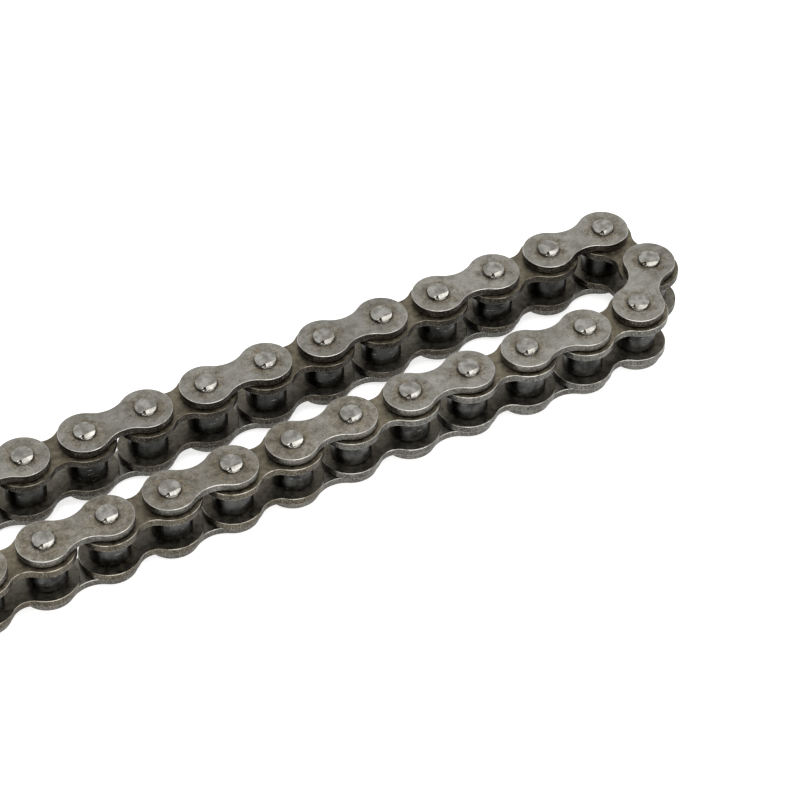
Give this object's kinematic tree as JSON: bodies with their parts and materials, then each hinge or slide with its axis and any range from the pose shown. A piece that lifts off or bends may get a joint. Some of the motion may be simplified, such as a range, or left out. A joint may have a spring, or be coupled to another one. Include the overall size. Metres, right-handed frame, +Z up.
{
  "type": "roller chain",
  "caption": "Roller drive chain laid on its side in a narrow hairpin, with waisted side plates, staked pins and free rollers on bushes.",
  "frame": {"origin": "under the middle of the outline, on the plane that the pin ends rest on", "axes": "+Z up along the pins, X along the two strands with the turn at +X, the upper strand of the picture at +Y"},
  "size_m": [0.1854, 0.034, 0.0147],
  "materials": {
    "outer_plate": "satin, lightly oil stained",
    "inner_plate": "satin, oiled",
    "pin": "bright, staked ends",
    "bush": "smooth",
    "roller": "dark, smooth, oiled"
  },
  "bodies": {
    "turn_link": {"turn_link_lower_plate": "outer_plate", "turn_link_upper_plate": "outer_plate", "turn_link_first_pin": "pin", "turn_link_second_pin": "pin"},
    "inner_link_01": {"inner_link_01": "inner_plate", "end_bush_upper": "bush"},
    "outer_link_02": {"outer_link_02": "outer_plate"},
    "inner_link_03": {"inner_link_03": "inner_plate"},
    "outer_link_04": {"outer_link_04": "outer_plate"},
    "inner_link_05": {"inner_link_05": "inner_plate"},
    "outer_link_06": {"outer_link_06": "outer_plate"},
    "inner_link_07": {"inner_link_07": "inner_plate"},
    "outer_link_08": {"outer_link_08": "outer_plate"},
    "inner_link_09": {"inner_link_09": "inner_plate"},
    "outer_link_10": {"outer_link_10": "outer_plate"},
    "inner_link_11": {"inner_link_11": "inner_plate"},
    "outer_link_12": {"outer_link_12": "outer_plate"},
    "inner_link_13": {"inner_link_13": "inner_plate"},
    "inner_link_15": {"inner_link_15": "inner_plate"},
    "outer_link_16": {"outer_link_16": "outer_plate"},
    "inner_link_17": {"inner_link_17": "inner_plate"},
    "outer_link_18": {"outer_link_18": "outer_plate"},
    "inner_link_19": {"inner_link_19": "inner_plate"},
    "outer_link_20": {"outer_link_20": "outer_plate"},
    "inner_link_21": {"inner_link_21": "inner_plate"},
    "outer_link_22": {"outer_link_22": "outer_plate"},
    "inner_link_23": {"inner_link_23": "inner_plate"},
    "outer_link_24": {"outer_link_24": "outer_plate"},
    "inner_link_25": {"inner_link_25": "inner_plate"},
    "outer_link_26": {"outer_link_26": "outer_plate"},
    "inner_link_27": {"inner_link_27": "inner_plate", "end_bush_lower": "bush"},
    "roller_01": {"roller_01": "roller"},
    "roller_02": {"roller_02": "roller"},
    "roller_03": {"roller_03": "roller"},
    "roller_04": {"roller_04": "roller"},
    "roller_05": {"roller_05": "roller"},
    "roller_06": {"roller_06": "roller"},
    "roller_07": {"roller_07": "roller"},
    "roller_08": {"roller_08": "roller"},
    "roller_09": {"roller_09": "roller"},
    "roller_10": {"roller_10": "roller"},
    "roller_11": {"roller_11": "roller"},
    "roller_12": {"roller_12": "roller"},
    "roller_13": {"roller_13": "roller"},
    "roller_14": {"roller_14": "roller"},
    "roller_15": {"roller_15": "roller"},
    "roller_16": {"roller_16": "roller"},
    "roller_17": {"roller_17": "roller"},
    "roller_18": {"roller_18": "roller"},
    "roller_19": {"roller_19": "roller"},
    "roller_20": {"roller_20": "roller"},
    "roller_21": {"roller_21": "roller"},
    "roller_22": {"roller_22": "roller"},
    "roller_23": {"roller_23": "roller"},
    "roller_24": {"roller_24": "roller"},
    "roller_25": {"roller_25": "roller"},
    "roller_26": {"roller_26": "roller"},
    "roller_27": {"roller_27": "roller"},
    "roller_28": {"roller_28": "roller"}
  },
  "joints": [
    {"name": "pin_13", "type": "hinge", "parent": "turn_link", "child": "inner_link_13", "pos_m": [0.08684, -0.00126, 0.00732], "axis": [0, 0, -1], "range_deg": [-3.5, 56]},
    {"name": "pin_12", "type": "hinge", "parent": "inner_link_13", "child": "outer_link_12", "pos_m": [0.08396, 0.01111, 0.00732], "axis": [0, 0, 1], "range_deg": [-77, 3.5]},
    {"name": "pin_11", "type": "hinge", "parent": "outer_link_12", "child": "inner_link_11", "pos_m": [0.07126, 0.01111, 0.00732], "axis": [0, 0, -1], "range_deg": [-4, 50]},
    {"name": "pin_10", "type": "hinge", "parent": "inner_link_11", "child": "outer_link_10", "pos_m": [0.05856, 0.01111, 0.00732], "axis": [0, 0, 1], "range_deg": [-50, 4.5]},
    {"name": "pin_09", "type": "hinge", "parent": "outer_link_10", "child": "inner_link_09", "pos_m": [0.04586, 0.01111, 0.00732], "axis": [0, 0, -1], "range_deg": [-5, 50]},
    {"name": "pin_08", "type": "hinge", "parent": "inner_link_09", "child": "outer_link_08", "pos_m": [0.03316, 0.01111, 0.00732], "axis": [0, 0, 1], "range_deg": [-50, 5.5]},
    {"name": "pin_07", "type": "hinge", "parent": "outer_link_08", "child": "inner_link_07", "pos_m": [0.02046, 0.01111, 0.00732], "axis": [0, 0, -1], "range_deg": [-6.5, 50]},
    {"name": "pin_06", "type": "hinge", "parent": "inner_link_07", "child": "outer_link_06", "pos_m": [0.00776, 0.01111, 0.00732], "axis": [0, 0, 1], "range_deg": [-50, 7.5]},
    {"name": "pin_05", "type": "hinge", "parent": "outer_link_06", "child": "inner_link_05", "pos_m": [-0.00494, 0.01111, 0.00732], "axis": [0, 0, -1], "range_deg": [-9, 50]},
    {"name": "pin_04", "type": "hinge", "parent": "inner_link_05", "child": "outer_link_04", "pos_m": [-0.01764, 0.01111, 0.00732], "axis": [0, 0, 1], "range_deg": [-50, 11.5]},
    {"name": "pin_03", "type": "hinge", "parent": "outer_link_04", "child": "inner_link_03", "pos_m": [-0.03034, 0.01111, 0.00732], "axis": [0, 0, -1], "range_deg": [-15, 50]},
    {"name": "pin_02", "type": "hinge", "parent": "inner_link_03", "child": "outer_link_02", "pos_m": [-0.04304, 0.01111, 0.00732], "axis": [0, 0, 1], "range_deg": [-50, 22.5]},
    {"name": "pin_01", "type": "hinge", "parent": "outer_link_02", "child": "inner_link_01", "pos_m": [-0.05574, 0.01111, 0.00732], "axis": [0, 0, -1], "range_deg": [-45.5, 50]},
    {"name": "pin_14", "type": "hinge", "parent": "turn_link", "child": "inner_link_15", "pos_m": [0.07821, -0.01058, 0.00732], "axis": [0, 0, -1], "range_deg": [-50, 3.5]},
    {"name": "pin_15", "type": "hinge", "parent": "inner_link_15", "child": "outer_link_16", "pos_m": [0.06552, -0.01111, 0.00732], "axis": [0, 0, 1], "range_deg": [-4, 50]},
    {"name": "pin_16", "type": "hinge", "parent": "outer_link_16", "child": "inner_link_17", "pos_m": [0.05284, -0.01047, 0.00732], "axis": [0, 0, -1], "range_deg": [-50, 4]},
    {"name": "pin_17", "type": "hinge", "parent": "inner_link_17", "child": "outer_link_18", "pos_m": [0.04015, -0.00983, 0.00732], "axis": [0, 0, 1], "range_deg": [-4.5, 50]},
    {"name": "pin_18", "type": "hinge", "parent": "outer_link_18", "child": "inner_link_19", "pos_m": [0.02746, -0.00956, 0.00732], "axis": [0, 0, -1], "range_deg": [-50, 5.5]},
    {"name": "pin_19", "type": "hinge", "parent": "inner_link_19", "child": "outer_link_20", "pos_m": [0.01476, -0.00943, 0.00732], "axis": [0, 0, 1], "range_deg": [-6, 50]},
    {"name": "pin_20", "type": "hinge", "parent": "outer_link_20", "child": "inner_link_21", "pos_m": [0.00206, -0.00974, 0.00732], "axis": [0, 0, -1], "range_deg": [-50, 7]},
    {"name": "pin_21", "type": "hinge", "parent": "inner_link_21", "child": "outer_link_22", "pos_m": [-0.01064, -0.00974, 0.00732], "axis": [0, 0, 1], "range_deg": [-8.5, 50]},
    {"name": "pin_22", "type": "hinge", "parent": "outer_link_22", "child": "inner_link_23", "pos_m": [-0.02334, -0.00974, 0.00732], "axis": [0, 0, -1], "range_deg": [-50, 10.5]},
    {"name": "pin_23", "type": "hinge", "parent": "inner_link_23", "child": "outer_link_24", "pos_m": [-0.03604, -0.00974, 0.00732], "axis": [0, 0, 1], "range_deg": [-14.5, 50]},
    {"name": "pin_24", "type": "hinge", "parent": "outer_link_24", "child": "inner_link_25", "pos_m": [-0.04874, -0.00974, 0.00732], "axis": [0, 0, -1], "range_deg": [-50, 21.5]},
    {"name": "pin_25", "type": "hinge", "parent": "inner_link_25", "child": "outer_link_26", "pos_m": [-0.06144, -0.00974, 0.00732], "axis": [0, 0, 1], "range_deg": [-42.5, 50]},
    {"name": "pin_26", "type": "hinge", "parent": "outer_link_26", "child": "inner_link_27", "pos_m": [-0.07414, -0.00974, 0.00732], "axis": [0, 0, -1], "range_deg": [-50, 50]},
    {"name": "roller_01_spin", "type": "hinge", "parent": "inner_link_01", "child": "roller_01", "pos_m": [-0.06844, 0.01111, 0.00732], "axis": [0, 0, 1], "continuous": true},
    {"name": "roller_02_spin", "type": "hinge", "parent": "inner_link_01", "child": "roller_02", "pos_m": [-0.05574, 0.01111, 0.00732], "axis": [0, 0, 1], "continuous": true},
    {"name": "roller_03_spin", "type": "hinge", "parent": "inner_link_03", "child": "roller_03", "pos_m": [-0.04304, 0.01111, 0.00732], "axis": [0, 0, 1], "continuous": true},
    {"name": "roller_04_spin", "type": "hinge", "parent": "inner_link_03", "child": "roller_04", "pos_m": [-0.03034, 0.01111, 0.00732], "axis": [0, 0, 1], "continuous": true},
    {"name": "roller_05_spin", "type": "hinge", "parent": "inner_link_05", "child": "roller_05", "pos_m": [-0.01764, 0.01111, 0.00732], "axis": [0, 0, 1], "continuous": true},
    {"name": "roller_06_spin", "type": "hinge", "parent": "inner_link_05", "child": "roller_06", "pos_m": [-0.00494, 0.01111, 0.00732], "axis": [0, 0, 1], "continuous": true},
    {"name": "roller_07_spin", "type": "hinge", "parent": "inner_link_07", "child": "roller_07", "pos_m": [0.00776, 0.01111, 0.00732], "axis": [0, 0, 1], "continuous": true},
    {"name": "roller_08_spin", "type": "hinge", "parent": "inner_link_07", "child": "roller_08", "pos_m": [0.02046, 0.01111, 0.00732], "axis": [0, 0, 1], "continuous": true},
    {"name": "roller_09_spin", "type": "hinge", "parent": "inner_link_09", "child": "roller_09", "pos_m": [0.03316, 0.01111, 0.00732], "axis": [0, 0, 1], "continuous": true},
    {"name": "roller_10_spin", "type": "hinge", "parent": "inner_link_09", "child": "roller_10", "pos_m": [0.04586, 0.01111, 0.00732], "axis": [0, 0, 1], "continuous": true},
    {"name": "roller_11_spin", "type": "hinge", "parent": "inner_link_11", "child": "roller_11", "pos_m": [0.05856, 0.01111, 0.00732], "axis": [0, 0, 1], "continuous": true},
    {"name": "roller_12_spin", "type": "hinge", "parent": "inner_link_11", "child": "roller_12", "pos_m": [0.07126, 0.01111, 0.00732], "axis": [0, 0, 1], "continuous": true},
    {"name": "roller_13_spin", "type": "hinge", "parent": "inner_link_13", "child": "roller_13", "pos_m": [0.08396, 0.01111, 0.00732], "axis": [0, 0, 1], "continuous": true},
    {"name": "roller_14_spin", "type": "hinge", "parent": "inner_link_13", "child": "roller_14", "pos_m": [0.08684, -0.00126, 0.00732], "axis": [0, 0, 1], "continuous": true},
    {"name": "roller_15_spin", "type": "hinge", "parent": "inner_link_15", "child": "roller_15", "pos_m": [0.07821, -0.01058, 0.00732], "axis": [0, 0, 1], "continuous": true},
    {"name": "roller_16_spin", "type": "hinge", "parent": "inner_link_15", "child": "roller_16", "pos_m": [0.06552, -0.01111, 0.00732], "axis": [0, 0, 1], "continuous": true},
    {"name": "roller_17_spin", "type": "hinge", "parent": "inner_link_17", "child": "roller_17", "pos_m": [0.05284, -0.01047, 0.00732], "axis": [0, 0, 1], "continuous": true},
    {"name": "roller_18_spin", "type": "hinge", "parent": "inner_link_17", "child": "roller_18", "pos_m": [0.04015, -0.00983, 0.00732], "axis": [0, 0, 1], "continuous": true},
    {"name": "roller_19_spin", "type": "hinge", "parent": "inner_link_19", "child": "roller_19", "pos_m": [0.02746, -0.00956, 0.00732], "axis": [0, 0, 1], "continuous": true},
    {"name": "roller_20_spin", "type": "hinge", "parent": "inner_link_19", "child": "roller_20", "pos_m": [0.01476, -0.00943, 0.00732], "axis": [0, 0, 1], "continuous": true},
    {"name": "roller_21_spin", "type": "hinge", "parent": "inner_link_21", "child": "roller_21", "pos_m": [0.00206, -0.00974, 0.00732], "axis": [0, 0, 1], "continuous": true},
    {"name": "roller_22_spin", "type": "hinge", "parent": "inner_link_21", "child": "roller_22", "pos_m": [-0.01064, -0.00974, 0.00732], "axis": [0, 0, 1], "continuous": true},
    {"name": "roller_23_spin", "type": "hinge", "parent": "inner_link_23", "child": "roller_23", "pos_m": [-0.02334, -0.00974, 0.00732], "axis": [0, 0, 1], "continuous": true},
    {"name": "roller_24_spin", "type": "hinge", "parent": "inner_link_23", "child": "roller_24", "pos_m": [-0.03604, -0.00974, 0.00732], "axis": [0, 0, 1], "continuous": true},
    {"name": "roller_25_spin", "type": "hinge", "parent": "inner_link_25", "child": "roller_25", "pos_m": [-0.04874, -0.00974, 0.00732], "axis": [0, 0, 1], "continuous": true},
    {"name": "roller_26_spin", "type": "hinge", "parent": "inner_link_25", "child": "roller_26", "pos_m": [-0.06144, -0.00974, 0.00732], "axis": [0, 0, 1], "continuous": true},
    {"name": "roller_27_spin", "type": "hinge", "parent": "inner_link_27", "child": "roller_27", "pos_m": [-0.07414, -0.00974, 0.00732], "axis": [0, 0, 1], "continuous": true},
    {"name": "roller_28_spin", "type": "hinge", "parent": "inner_link_27", "child": "roller_28", "pos_m": [-0.08684, -0.00974, 0.00732], "axis": [0, 0, 1], "continuous": true}
  ]
}
